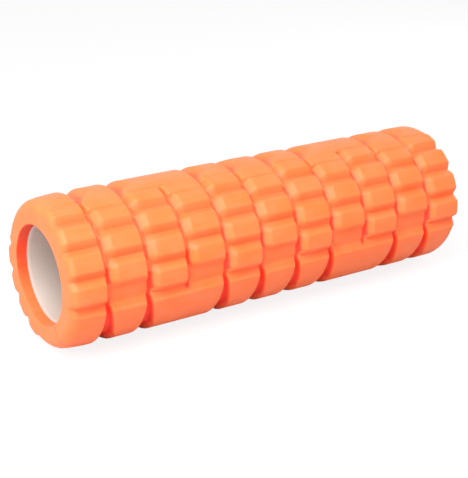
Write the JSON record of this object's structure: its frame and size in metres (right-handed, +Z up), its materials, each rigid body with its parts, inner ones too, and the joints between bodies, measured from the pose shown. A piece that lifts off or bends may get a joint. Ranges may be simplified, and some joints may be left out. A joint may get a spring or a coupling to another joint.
{
  "type": "foam roller",
  "caption": "Hollow massage roller: thick foam sleeve with a staggered block tread, glued over a rigid open core tube.",
  "frame": {"origin": "on the roller's axis at mid length, which is the centre of the core tube's bore", "axes": "+X along the roller's axis, from the nearer end to the farther end as it lies; +Z up as it lies on the floor"},
  "size_m": [0.448, 0.142, 0.142],
  "materials": {
    "core": "extruded rigid plastic, satin, pale grey-white",
    "glue": "cured contact adhesive, satin",
    "foam": "moulded closed-cell EVA foam, orange, matte skin with a faint sheen"
  },
  "bodies": {
    "root": {"core_tube": "core", "glue_film": "glue", "foam_sleeve": "foam"}
  },
  "joints": []
}
